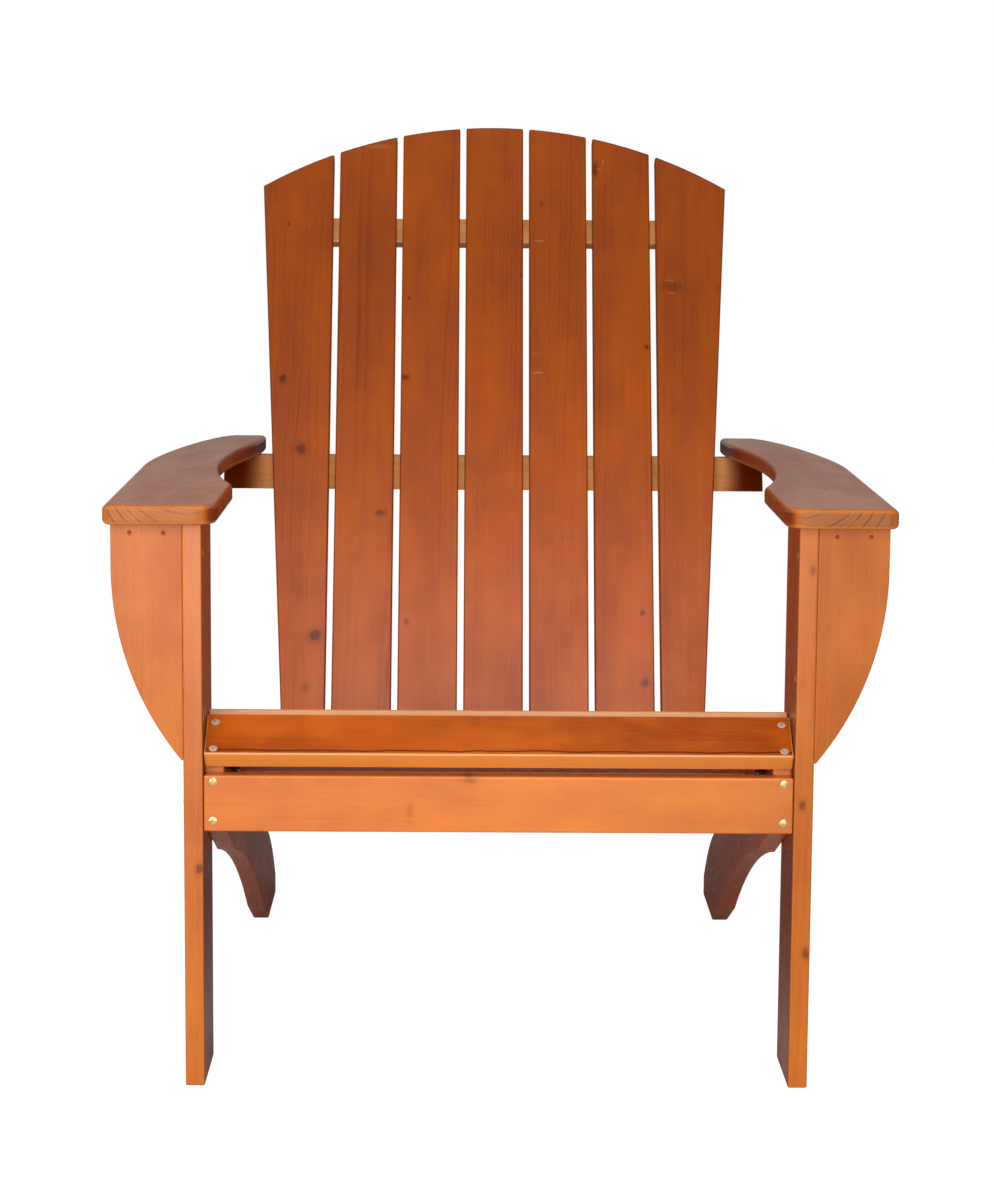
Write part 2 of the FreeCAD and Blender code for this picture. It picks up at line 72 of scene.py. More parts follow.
def minus(tree, a, b):
    return calc(tree, "SUBTRACT", a, b)


def addShares(tree, start, shares, sockets):
    # start, plus each named socket times its share
    total = start
    for name, share in shares.items():
        total = calc(tree, "MULTIPLY_ADD", sockets[name], share, total)
    return total


def sumOfSquares(tree, a, b):
    return plus(tree, times(tree, a, a), times(tree, b, b))


def vectorCalc(tree, operation, a, b):
    return put(tree, "ShaderNodeVectorMath", {0: a, 1: b}, operation=operation).outputs[0]


def splitVector(tree, vector):
    return put(tree, "ShaderNodeSeparateXYZ", {0: vector}).outputs


def ramp(tree, value, low, high, toLow=0.0, toHigh=1.0):
    # eases from toLow to toHigh while value goes from low to high
    feeds = {"Value": value, "From Min": low, "From Max": high, "To Min": toLow, "To Max": toHigh}
    return put(tree, "ShaderNodeMapRange", feeds, interpolation_type="SMOOTHSTEP").outputs[0]


def mixColor(tree, factor, a, b):
    return put(tree, "ShaderNodeMix", {0: factor, 6: a, 7: b}, data_type="RGBA").outputs[2]


def stretchedNoise(tree, vector, cells, detail=2.0, rough=0.5, seed=None):
    # noise with so many cells in a metre along each axis
    spot = vectorCalc(tree, "ADD", vector, seed) if seed else vector
    spot = vectorCalc(tree, "MULTIPLY", spot, cells)
    feeds = {"Vector": spot, "Scale": 1.0, "Detail": detail, "Roughness": rough}
    return put(tree, "ShaderNodeTexNoise", feeds, normalize=True).outputs[0]


def shaderGroup(name, inputs, outputs):
    # inputs and outputs are (name, kind) or (name, kind, value) rows
    tree = bpy.data.node_groups.new(name, "ShaderNodeTree")
    kinds = {"value": "NodeSocketFloat", "vector": "NodeSocketVector", "color": "NodeSocketColor"}
    for row in inputs:
        socket = tree.interface.new_socket(row[0], in_out="INPUT", socket_type=kinds[row[1]])
        if len(row) > 2:
            socket.default_value = row[2]
    for row in outputs:
        tree.interface.new_socket(row[0], in_out="OUTPUT", socket_type=kinds[row[1]])
    given = tree.nodes.new("NodeGroupInput").outputs
    made = tree.nodes.new("NodeGroupOutput").inputs
    return tree, given, made


def putOut(tree, made, sockets):
    for name, socket in sockets.items():
        tree.links.new(socket, made[name])


def useGroup(tree, group, feeds):
    return put(tree, "ShaderNodeGroup", feeds, node_tree=group).outputs


# each noise is (cells in a metre along the board, cells in a metre across it, detail, roughness)
grainNoises = {
    "stray": (1.8, 7.0, 2.0, 0.5),       # the pith line wanders along the trunk
    "ripple": (7.0, 60.0, 2.0, 0.5),     # small waves in every line
    "fading": (2.5, 60.0, 2.0, 0.5),     # a line fades in and out along the board
    "fibre": (14.0, 1100.0, 3.0, 0.65),  # fine streaks
    "coarse": (4.0, 220.0, 3.0, 0.6),    # broader streaks
    "dash": (40.0, 1300.0, 1.0, 0.5),    # short dark resin dashes
    "cloud": (5.0, 16.0, 4.0, 0.5),      # where the wood drank more of the stain
    "patch": (22.0, 40.0, 3.0, 0.5),     # smaller ones
    "band": (38.0, 5.0, 1.0, 0.5),       # faint bands across, from the planer
}
# the ramps are (from, to) or (from, to, value at the first, value at the second)
grainLook = {
    "stray": 0.030,                      # metres that the noises move a ring by
    "ripple": 0.0025,
    "darken": (0.1, 0.9),                # late wood darkens slowly through a year and stops at once
    "darkenPower": 2.2,
    "stop": (0.93, 1.0, 1.0, 0.0),
    "years": (0.25, 0.95, 0.15, 1.0),
    "fading": (0.3, 0.65, 0.25, 1.0),
    "dashes": (0.70, 0.78),
    "clouds": (0.25, 0.75, -0.5, 0.5),
    "blotch": {"patch": 0.45, "band": 0.35},
    "coarseShare": 1.3,
    "dashTone": 0.25,
    "startTone": 0.35,
    "startRough": 0.25,
    "rough": {"fibre": 0.04, "late": -0.05, "blotch": 0.06},
    "height": {"coarse": 0.35, "late": 0.3, "fibre": 0.25, "dash": -0.4, "band": 0.5},
}


def makePineGrain():
    # a board cut from a trunk whose rings are cylinders about a pith line
    tree, given, made = shaderGroup("pineGrain", [
        ("Vector", "vector"), ("Seed", "vector"), ("Pith Across", "value", 0.05),
        ("Pith Depth", "value", 0.04), ("Pith Drift", "value", 0.02), ("Ring Gap", "value", 0.004),
        ("Ring Strength", "value", 0.5), ("Fibre Strength", "value", 0.4),
        ("Blotch Strength", "value", 0.5), ("Light Wood", "color"), ("Dark Wood", "color")],
        [("Color", "color"), ("Roughness", "value"), ("Height", "value"), ("Late Wood", "value")])
    noise = {}
    for name, (alongCells, acrossCells, detail, rough) in grainNoises.items():
        cells = (alongCells, acrossCells, acrossCells)
        noise[name] = stretchedNoise(tree, given["Vector"], cells, detail, rough, given["Seed"])

    # radius is the distance to the pith line
    small = times(tree, minus(tree, noise["ripple"], 0.5), grainLook["ripple"])
    shift = plus(tree, times(tree, minus(tree, noise["stray"], 0.5), grainLook["stray"]), small)
    parts = splitVector(tree, given["Vector"])
    drift = times(tree, parts["X"], given["Pith Drift"])
    across = plus(tree, minus(tree, plus(tree, parts["Y"], shift), given["Pith Across"]), drift)
    depth = minus(tree, plus(tree, parts["Z"], small), given["Pith Depth"])
    radius = calc(tree, "SQRT", sumOfSquares(tree, across, depth))

    # late wood is the dark line of each ring; some years show and others hardly do
    turns = calc(tree, "DIVIDE", radius, given["Ring Gap"])
    ring = calc(tree, "FRACT", turns)
    darkening = calc(tree, "POWER", ramp(tree, ring, *grainLook["darken"]), grainLook["darkenPower"])
    late = times(tree, darkening, ramp(tree, ring, *grainLook["stop"]))
    wholeYear = {"W": calc(tree, "FLOOR", turns)}
    year = put(tree, "ShaderNodeTexWhiteNoise", wholeYear, noise_dimensions="1D").outputs[0]
    shown = times(tree, ramp(tree, year, *grainLook["years"]),
                  ramp(tree, noise["fading"], *grainLook["fading"]))
    late = times(tree, late, shown)

    dash = ramp(tree, noise["dash"], *grainLook["dashes"])
    cloud = ramp(tree, noise["cloud"], *grainLook["clouds"])
    patch = ramp(tree, noise["patch"], *grainLook["clouds"])
    band = minus(tree, noise["band"], 0.5)
    blotch = addShares(tree, cloud, grainLook["blotch"], {"patch": patch, "band": band})

    # tone 0 is the light wood and 1 the dark
    fibreTone = times(tree, minus(tree, noise["fibre"], 0.5), given["Fibre Strength"])
    coarseTone = times(tree, minus(tree, noise["coarse"], 0.5),
                       times(tree, given["Fibre Strength"], grainLook["coarseShare"]))
    tone = plus(tree, times(tree, late, given["Ring Strength"]), fibreTone)
    tone = plus(tree, tone, coarseTone)
    tone = calc(tree, "MULTIPLY_ADD", blotch, given["Blotch Strength"], tone)
    tone = calc(tree, "MULTIPLY_ADD", dash, grainLook["dashTone"], tone)
    tone = calc(tree, "ADD", tone, grainLook["startTone"], clamp=True)

    marks = {"fibre": noise["fibre"], "coarse": noise["coarse"], "late": late, "blotch": blotch,
             "dash": dash, "band": band}
    putOut(tree, made, {
        "Color": mixColor(tree, tone, given["Light Wood"], given["Dark Wood"]),
        "Roughness": addShares(tree, grainLook["startRough"], grainLook["rough"], marks),
        "Height": addShares(tree, 0.0, grainLook["height"], marks),
        "Late Wood": late})
    return tree


# distances count in the knot's own half length and half width, so that its outline is at 1
knotLook = {
    "raggedCells": (220.0, 220.0, 20.0),
    "raggedDetail": 3.0,
    "ragged": 1.1,
    "core": (0.55, 1.2, 1.0, 0.0),
    "rim": (0.6, 2.3, 1.0, 0.0),
    "rings": 13.0,
    "ringDepth": 0.12,
    "reachAlong": 3.0,                   # lines bulge round it this far
    "reachAcross": 2.4,
    "bulge": -0.8,
}


def makePineKnot():
    # a knot parts the grain round its centre; Vector goes on to the grain, Mask and Rim add up
    tree, given, made = shaderGroup("pineKnot", [
        ("Vector", "vector"), ("Mask", "value"), ("Rim", "value"), ("Centre", "vector"),
        ("Half Length", "value", 0.008), ("Half Width", "value", 0.006), ("Depth", "value", 1.0)],
        [("Vector", "vector"), ("Mask", "value"), ("Rim", "value")])
    parts = splitVector(tree, vectorCalc(tree, "SUBTRACT", given["Vector"], given["Centre"]))
    along = calc(tree, "DIVIDE", parts["X"], given["Half Length"])
    across = calc(tree, "DIVIDE", parts["Y"], given["Half Width"])
    ragged = stretchedNoise(tree, given["Vector"], knotLook["raggedCells"], knotLook["raggedDetail"])
    distance = plus(tree, calc(tree, "SQRT", sumOfSquares(tree, along, across)),
                    times(tree, minus(tree, ragged, 0.5), knotLook["ragged"]))
    rings = calc(tree, "SINE", times(tree, distance, knotLook["rings"]))
    rings = calc(tree, "MULTIPLY_ADD", rings, knotLook["ringDepth"], 1.0 - knotLook["ringDepth"])
    core = times(tree, ramp(tree, distance, *knotLook["core"]), rings)
    rim = ramp(tree, distance, *knotLook["rim"])

    reachAlong = calc(tree, "DIVIDE", along, knotLook["reachAlong"])
    reachAcross = calc(tree, "DIVIDE", across, knotLook["reachAcross"])
    reach = sumOfSquares(tree, reachAlong, reachAcross)
    nearness = calc(tree, "EXPONENT", times(tree, reach, -1.0))
    pull = times(tree, parts["Y"], times(tree, nearness, knotLook["bulge"]))
    push = put(tree, "ShaderNodeCombineXYZ", {"Y": times(tree, pull, given["Depth"])}).outputs[0]
    putOut(tree, made, {
        "Vector": vectorCalc(tree, "ADD", given["Vector"], push),
        "Mask": calc(tree, "MAXIMUM", given["Mask"], times(tree, core, given["Depth"])),
        "Rim": calc(tree, "MAXIMUM", given["Rim"], times(tree, rim, given["Depth"]))})
    return tree


edgeLook = {
    "edgeWearAndShadeCells": (25.0, 120.0, 120.0),
    "edgeWearAndShadeDetail": 3.0,
    "edgeWearAndShadeRough": 0.6,
    "eased": (0.25, 0.75),
    "end": (0.75, 0.95),
    "side": (0.4, 0.8),
}


def makeBoardEdges():
    # masks from the surface's direction in the board's own axes: eased edges, sawn ends and sides
    tree, given, made = shaderGroup("boardEdges", [
        ("Vector", "vector"), ("Normal", "vector"), ("Break Up", "value", 0.5)],
        [("Eased Edge", "value"), ("Sawn End", "value"), ("Sawn Side", "value")])
    parts = splitVector(tree, given["Normal"])
    toFace = calc(tree, "ABSOLUTE", parts["Z"])
    toSide = calc(tree, "SQRT", sumOfSquares(tree, parts["X"], parts["Y"]))
    between = times(tree, times(tree, toFace, toSide), 2.0)  # 1 halfway between face and side
    # noise that breaks up the eased edges, which are wear on most boards and painted shade on the back
    # slats
    edgeWearAndShade = stretchedNoise(tree, given["Vector"], edgeLook["edgeWearAndShadeCells"], edgeLook["edgeWearAndShadeDetail"],
                            edgeLook["edgeWearAndShadeRough"])
    edgeWearAndShade = times(tree, minus(tree, edgeWearAndShade, 0.5), given["Break Up"])
    putOut(tree, made, {
        "Eased Edge": ramp(tree, plus(tree, between, edgeWearAndShade), *edgeLook["eased"]),
        "Sawn End": ramp(tree, calc(tree, "ABSOLUTE", parts["X"]), *edgeLook["end"]),
        "Sawn Side": ramp(tree, calc(tree, "ABSOLUTE", parts["Y"]), *edgeLook["side"])})
    return tree


scuffLook = {
    "scratchCells": (4000.0, 500.0, 2200.0),
    "grimeDetail": 4.0,
    "grime": (0.4, 0.65),
    "startRough": 0.2,
    "rough": {"scratch": 0.15, "grime": 0.22},
}


def makeMetalScuffs():
    # fine scuffs and tarnish for small metal parts
    tree, given, made = shaderGroup("metalScuffs", [
        ("Vector", "vector"), ("Bright", "color"), ("Dull", "color"), ("Scale", "value", 400.0)],
        [("Color", "color"), ("Roughness", "value"), ("Height", "value")])
    feeds = {"Vector": given["Vector"], "Scale": given["Scale"], "Detail": scuffLook["grimeDetail"]}
    grime = ramp(tree, put(tree, "ShaderNodeTexNoise", feeds).outputs[0], *scuffLook["grime"])
    scratch = stretchedNoise(tree, given["Vector"], scuffLook["scratchCells"])
    marks = {"scratch": scratch, "grime": grime}
    putOut(tree, made, {
        "Color": mixColor(tree, grime, given["Bright"], given["Dull"]),
        "Roughness": addShares(tree, scuffLook["startRough"], scuffLook["rough"], marks),
        "Height": scratch})
    return tree


pineGrain = makePineGrain()
pineKnot = makePineKnot()
boardEdges = makeBoardEdges()
metalScuffs = makeMetalScuffs()
print("shader groups built")


# the colours of each finish: its wood, worn edges, knots and sawn ends
stain = {
    "light": (0.58, 0.112, 0.006),
    "dark": (0.30, 0.040, 0.002),
    "edge": (0.75, 0.33, 0.11),
    "knot": (0.060, 0.008, 0.001),
    "end": (0.62, 0.20, 0.03),
}
paleStain = {
    "light": (0.62, 0.170, 0.020),
    "dark": (0.38, 0.072, 0.007),
    "edge": (0.78, 0.36, 0.13),
    "knot": (0.090, 0.016, 0.003),
    "end": (0.62, 0.21, 0.04),
}
rawPine = {
    "light": (0.60, 0.28, 0.10),
    "dark": (0.34, 0.12, 0.035),
    "edge": (0.70, 0.40, 0.18),
    "end": (0.50, 0.24, 0.09),
}

# a board's look, where its own row doesn't say otherwise; its row also gives
#   seed, and pith: how far the pith line lies across and in front of the middle of the board
#   paintedLightAndShade: painted light and shade, a brightness ramp over the length; endShade: how far
#       from the middle shadeColor sets in
#   side: how much of sideColor its narrow sides take; sideOnly: 1 or -1 keeps it to one of the two; the
#       dark sideColor kept to the inner side of the legs and armrests is painted shade
#   endTone: brightness of the sawn ends, which then show their rings
#   seam: place and waver of a dark line along the board
# knots and tears are (along, across, half length, half width, strength) from the middle of its box
plainLook = {
    "tone": 1.0,
    "drift": 0.02,
    "ringGap": 0.0045,
    "ring": 0.18,
    "fibre": 0.29,
    "blotch": 0.5,
    "knots": (),
    "tears": (),
    "edge": 0.12,
    "breakUp": 0.5,
    "gloss": 0.5,
    "bump": 0.2,
}
# what all boards share
boardLook = {
    "faceOnly": (0.5, 0.9),
    "endMix": 0.6,
    "endLines": 0.8,
    "endLineTone": 0.6,
    "endRough": 0.2,
    "seamCells": (26.0, 2.0, 2.0),
    "seamDetail": 4.0,
    "seamRough": 0.6,
    "seamWidth": (0.0002, 0.0018, 0.85, 0.0),
    "seamTone": 1.6,
    "knotRim": 0.62,
    "knotRimTone": 0.7,
    "knotCore": 0.95,
    "bumpDepth": 0.0004,
    "ior": 1.48,
}


def shade(color, tone=1.0):
    return (color[0] * tone, color[1] * tone, color[2] * tone, 1.0)


def startMaterial(name):
    material = bpy.data.materials.new(name)
    material.use_nodes = True
    material.node_tree.nodes.clear()
    return material, material.node_tree


def endMaterial(tree, feeds):
    shader = put(tree, "ShaderNodeBsdfPrincipled", feeds)
    put(tree, "ShaderNodeOutputMaterial", {"Surface": shader.outputs[0]})


def bumps(tree, height, strength, depth):
    feeds = {"Height": height, "Strength": strength, "Distance": depth}
    return put(tree, "ShaderNodeBump", feeds).outputs[0]


def boardAxes(tree, node, grain, face):
    # place and direction in the board's own axes, with place counted from the middle of its box
    low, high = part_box(node)
    turn = boardTurn(grain, face)
    world = put(tree, "ShaderNodeTexCoord").outputs
    placing = {"Vector": world["Object"], "Location": (low + high) / 2, "Rotation": turn}
    turning = {"Vector": world["Normal"], "Rotation": turn}
    vector = put(tree, "ShaderNodeMapping", placing, vector_type="TEXTURE").outputs[0]
    normal = put(tree, "ShaderNodeMapping", turning, vector_type="TEXTURE").outputs[0]
    return vector, normal


def knotFeeds(spot):
    along, across, halfLength, halfWidth, strength = spot
    return {"Centre": (along, across, 0), "Half Length": halfLength, "Half Width": halfWidth,
            "Depth": strength}


# painted shadow: the face darkens towards both ends to shadeColor; on the arm rail it stands for the
# armrests' shadow
def shadeEnds(tree, color, look, place, facing):
    shadow = ramp(tree, calc(tree, "ABSOLUTE", place["X"]), *look["endShade"])
    onFace = ramp(tree, facing["Z"], *boardLook["faceOnly"])
    return mixColor(tree, times(tree, shadow, onFace), color, shade(look["shadeColor"]))


def showEndRings(tree, color, late, sawnEnd, dark):
    lines = calc(tree, "MULTIPLY", times(tree, late, sawnEnd), boardLook["endLines"], clamp=True)
    return mixColor(tree, lines, color, dark)


# on the legs and armrests the dark sideColor, kept to the inner side, is painted shade
def tintSides(tree, color, look, finish, facing, sawnSide):
    mask = times(tree, sawnSide, look["side"])
    if "sideOnly" in look:
        toward = times(tree, facing["Y"], look["sideOnly"])
        mask = times(tree, mask, calc(tree, "GREATER_THAN", toward, 0.0))
    return mixColor(tree, mask, color, shade(look.get("sideColor", finish["edge"]), look["tone"]))


def drawSeam(tree, color, look, finish, vector, place, seed, sawnSide):
    offset, waver = look["seam"]
    noise = stretchedNoise(tree, vector, boardLook["seamCells"], boardLook["seamDetail"],
                           boardLook["seamRough"], seed)
    line = calc(tree, "MULTIPLY_ADD", minus(tree, noise, 0.5), waver, offset)
    gap = calc(tree, "ABSOLUTE", minus(tree, place["Y"], line))
    dark = times(tree, ramp(tree, gap, *boardLook["seamWidth"]), minus(tree, 1.0, sawnSide))
    return mixColor(tree, dark, color, shade(finish["knot"], boardLook["seamTone"]))


def pineMaterial(name, node, grain, face, look, finish):
    look = {**plainLook, **look}
    material, tree = startMaterial(name)
    vector, normal = boardAxes(tree, node, grain, face)
    place = splitVector(tree, vector)
    facing = splitVector(tree, normal)
    draw = random.Random(look["seed"])
    seed = tuple(draw.uniform(1, 20) for _ in range(3))
    tone = look["tone"]

    mask, rim, flowing = 0.0, 0.0, vector
    for spot in look["knots"]:
        feeds = {"Vector": flowing, "Mask": mask, "Rim": rim, **knotFeeds(spot)}
        knot = useGroup(tree, pineKnot, feeds)
        flowing, mask, rim = knot["Vector"], knot["Mask"], knot["Rim"]
    torn = 0.0
    for spot in look["tears"]:
        torn = useGroup(tree, pineKnot, {"Vector": vector, "Mask": torn, **knotFeeds(spot)})["Mask"]
    wood = useGroup(tree, pineGrain, {
        "Vector": flowing, "Seed": seed, "Pith Across": look["pith"][0],
        "Pith Depth": look["pith"][1], "Pith Drift": look["drift"], "Ring Gap": look["ringGap"],
        "Ring Strength": look["ring"], "Fibre Strength": look["fibre"],
        "Blotch Strength": look["blotch"], "Light Wood": shade(finish["light"], tone),
        "Dark Wood": shade(finish["dark"], tone)})
    edges = useGroup(tree, boardEdges, {"Vector": vector, "Normal": normal,
                                        "Break Up": look["breakUp"]})

    color = wood["Color"]
    # painted light and shade: the colour brightened or darkened along the board's length
    if "paintedLightAndShade" in look:
        paintedLightAndShade = {0: color, 3: ramp(tree, place["X"], *look["paintedLightAndShade"])}
        color = put(tree, "ShaderNodeVectorMath", paintedLightAndShade, operation="SCALE").outputs[0]
    if "endShade" in look:
        color = shadeEnds(tree, color, look, place, facing)
    endTone = tone * look.get("endTone", 1.0)
    color = mixColor(tree, times(tree, edges["Sawn End"], boardLook["endMix"]), color,
                     shade(finish["end"], endTone))
    if "endTone" in look:
        dark = shade(finish["dark"], endTone * boardLook["endLineTone"])
        color = showEndRings(tree, color, wood["Late Wood"], edges["Sawn End"], dark)
    if "side" in look:
        color = tintSides(tree, color, look, finish, facing, edges["Sawn Side"])
    if "seam" in look:
        color = drawSeam(tree, color, look, finish, vector, place, seed, edges["Sawn Side"])
    if look["knots"]:
        color = mixColor(tree, times(tree, rim, boardLook["knotRim"]), color,
                         shade(finish["dark"], boardLook["knotRimTone"]))
        color = mixColor(tree, times(tree, mask, boardLook["knotCore"]), color,
                         shade(finish["knot"]))
    if look["tears"]:
        color = mixColor(tree, torn, color, shade(rawPine["edge"]))
    # eased edges take the worn edge colour, and on the back slats a dark painted shade instead
    color = mixColor(tree, times(tree, edges["Eased Edge"], look["edge"]), color,
                     shade(look.get("edgeShadeColor", finish["edge"]), tone))

    rough = calc(tree, "MULTIPLY_ADD", edges["Sawn End"], boardLook["endRough"], wood["Roughness"])
    endMaterial(tree, {
        "Base Color": color, "Roughness": rough, "IOR": boardLook["ior"],
        "Specular IOR Level": look["gloss"],
        "Normal": bumps(tree, wood["Height"], look["bump"], boardLook["bumpDepth"])})
    return material


def dress(node, material):
    for slot in nodes[node].material_slots:
        slot.material = material


def dressBoard(node, grain, face, look, finish):
    dress(node, pineMaterial("pine_" + node, node, grain, face, look, finish))


frameLooks = {
    # front legs: the brightness ramp is painted light, lighter towards the foot, and the dark sideColor
    # on the inner side is painted shade
    "front_leg_left": {
        "seed": 11, "tone": 0.93, "pith": (0.02, 0.09), "ring": 0.12, "gloss": 0.3,
        "paintedLightAndShade": (-0.25, 0.10, 1.14, 1.0), "side": 0.9, "sideOnly": 1, "sideColor": (0.25, 0.034, 0.002),
        "knots": ((0.230, -0.004, 0.005, 0.0025, 0.5), (0.006, 0.001, 0.005, 0.003, 0.7),
                  (-0.138, -0.005, 0.006, 0.003, 0.6))},
    "front_leg_right": {
        "seed": 12, "tone": 0.98, "pith": (-0.03, 0.09), "ring": 0.12, "gloss": 0.48,
        "paintedLightAndShade": (-0.25, 0.10, 1.10, 1.0), "side": 0.9, "sideOnly": -1, "sideColor": (0.24, 0.034, 0.002),
        "knots": ((-0.058, -0.006, 0.005, 0.004, 0.8),)},
    "arm_bracket_left": {"seed": 13, "tone": 0.87, "pith": (0.05, 0.03), "ring": 0.12, "gloss": 0.22},
    "arm_bracket_right": {"seed": 14, "tone": 0.94, "pith": (-0.06, 0.04), "ring": 0.12, "gloss": 0.34},
    "side_rail_left": {
        "seed": 15, "tone": 1.2, "pith": (0.08, 0.05), "ring": 0.14, "fibre": 0.08, "bump": 0.03},
    "side_rail_right": {
        "seed": 16, "tone": 1.1, "pith": (-0.07, 0.05), "ring": 0.14, "fibre": 0.08, "bump": 0.03},
    # apron: the brightness ramp is painted shade, darker towards its +X end, where less lamp light falls
    "front_apron": {
        "seed": 17, "tone": 1.22, "pith": (0.05, 0.05), "ring": 0.04, "fibre": 0.12,
        "paintedLightAndShade": (0.05, 0.26, 1.0, 0.86),
        "knots": ((-0.027, 0.024, 0.006, 0.004, 0.35), (-0.084, -0.006, 0.003, 0.008, 0.25))},
    "front_seat_slat": {
        "seed": 18, "tone": 0.98, "pith": (-0.05, 0.04), "ring": 0.12, "blotch": 0.9, "gloss": 0.4,
        "edge": 0.9, "side": 0.65, "sideColor": (0.85, 0.31, 0.06), "seam": (-0.0222, 0.006)},
    # armrests: the dark sideColor on the inner side is painted shade
    "armrest_left": {
        "seed": 19, "tone": 1.10, "pith": (0.03, 0.05), "ring": 0.14, "fibre": 0.06, "bump": 0.02,
        "gloss": 0.37, "endTone": 0.22, "side": 0.9, "sideOnly": 1, "sideColor": (0.14, 0.016, 0.001)},
    "armrest_right": {
        "seed": 20, "tone": 1.10, "pith": (-0.04, 0.05), "ring": 0.14, "fibre": 0.06, "bump": 0.02,
        "gloss": 0.37, "endTone": 0.42, "side": 0.9, "sideOnly": -1, "sideColor": (0.14, 0.016, 0.001)},
}
# the way of the grain, the way that the wide face looks, and the finish
frameAxes = {
    "front_leg": (upright, -rearward, paleStain),
    "arm_bracket": (upright, -rearward, paleStain),
    "side_rail": (inPlane(-slopes["seat"]), acrossChair, stain),
    "front_apron": (acrossChair, -rearward, paleStain),
    "front_seat_slat": (acrossChair, inPlane(slopes["frontSlat"] + 90), stain),
    "armrest": (rearward, upright, paleStain),
}
for node, look in frameLooks.items():
    kind = node.removesuffix("_left").removesuffix("_right")
    grain, face, finish = frameAxes[kind]
    dressBoard(node, grain, face, look, finish)
print("frame boards finished")


seatLook = {
    "tones": (0.95, 1.0, 0.92, 0.98, 0.94, 1.0, 0.96, 0.93),
    "firstSeed": 31,
    "pithAcross": (-0.06, 0.06),
    "pithDepth": (0.03, 0.07),
    "edge": 0.6,
    "side": 0.8,
}
for number, tone in enumerate(seatLook["tones"], 1):
    seed = seatLook["firstSeed"] + number
    draw = random.Random(seed)
    pith = (draw.uniform(*seatLook["pithAcross"]), draw.uniform(*seatLook["pithDepth"]))
    look = {"seed": seed, "tone": tone, "pith": pith, "edge": seatLook["edge"], "side": seatLook["side"]}
    dressBoard("seat_slat_%d" % number, acrossChair, inPlane(90 - slopes["seat"]), look, stain)
print("seat slats finished")


# back slats: the brightness ramp is painted light and shade, lighter at the foot and darker at the
# crown, and the dark colour on the eased edges is painted shade
backLook = {"paintedLightAndShade": (-0.42, 0.26, 1.38, 0.72), "gloss": 0.36, "edge": 0.7,
            "edgeShadeColor": (0.20, 0.028, 0.002)}
backSlats = {
    "back_slat_1": {
        "seed": 51, "tone": 1.0, "pith": (0.06, 0.04),
        "knots": ((0.119, 0.014, 0.0060, 0.0045, 0.75), (0.034, -0.009, 0.0065, 0.0065, 0.7),
                  (-0.189, -0.029, 0.0065, 0.0070, 0.75), (0.312, 0.011, 0.0025, 0.0012, 0.7),
                  (-0.249, -0.020, 0.0050, 0.0035, 0.4))},
    "back_slat_2": {
        "seed": 52, "tone": 0.96, "pith": (-0.01, 0.05), "ring": 0.4,
        "tears": ((0.3995, -0.012, 0.0028, 0.0170, 0.14),),
        "knots": ((-0.054, -0.019, 0.0035, 0.0055, 0.6),)},
    "back_slat_3": {
        "seed": 53, "tone": 1.0, "pith": (0.02, 0.06),
        "knots": ((0.203, 0.025, 0.0020, 0.0016, 0.9), (0.105, 0.029, 0.0030, 0.0050, 0.7),
                  (-0.189, 0.024, 0.0035, 0.0025, 0.6))},
    "back_slat_4": {
        "seed": 54, "tone": 1.0, "pith": (-0.05, 0.03),
        "knots": ((0.232, -0.032, 0.0020, 0.0016, 0.8),)},
    "back_slat_5": {
        "seed": 55, "tone": 1.0, "pith": (0.06, 0.05),
        "knots": ((0.322, 0.019, 0.0030, 0.0014, 0.7),),
        "tears": ((0.2755, 0.022, 0.0007, 0.0070, 0.5), (0.1345, 0.026, 0.0007, 0.0045, 0.35),
                  (0.1115, 0.024, 0.0010, 0.0070, 0.4))},
    "back_slat_6": {
        "seed": 56, "tone": 0.98, "pith": (0.0, 0.05),
        "tears": ((0.381, 0.021, 0.0030, 0.0010, 0.25), (0.373, 0.026, 0.0010, 0.0040, 0.25)),
        "knots": ((0.372, 0.030, 0.0080, 0.0030, 0.7), (0.150, -0.029, 0.0030, 0.0025, 0.8),
                  (-0.171, -0.021, 0.0030, 0.0025, 0.7), (-0.253, -0.023, 0.0045, 0.0040, 0.6))},
    "back_slat_7": {
        "seed": 57, "tone": 0.97, "pith": (-0.04, 0.04),
        "tears": ((0.2445, 0.026, 0.0007, 0.0060, 0.3), (0.2290, 0.024, 0.0007, 0.0060, 0.3)),
        "knots": ((0.2365, 0.022, 0.0055, 0.0140, 0.35), (0.2365, -0.030, 0.0050, 0.0060, 0.2))},
}
backGrain = inPlane(90 - slopes["back"])
backFace = inPlane(180 - slopes["back"])
for node, look in backSlats.items():
    dressBoard(node, backGrain, backFace, {**backLook, **look}, stain)
print("back slats finished")


# the cross rails are left unstained; the raised tone of the upper back rail and the arm rail is painted
# light
railLooks = {
    "upper_back_rail": {"seed": 71, "tone": 1.9, "pith": (0.05, 0.05), "edge": 0.3},
    # arm rail: its front face darkens towards both ends, a painted shadow of the armrests
    "arm_rail": {
        "seed": 72, "tone": 1.75, "pith": (0.05, 0.05), "edge": 0.0, "gloss": 0.04,
        "endShade": (0.247, 0.293), "shadeColor": (0.11, 0.013, 0.0006)},
    "foot_rail": {"seed": 73, "tone": 1.3, "pith": (0.05, 0.05), "edge": 0.0},
}
for node, look in railLooks.items():
    face = backFace if node == "upper_back_rail" else -rearward
    dressBoard(node, acrossChair, face, look, rawPine)
print("cross rails finished")


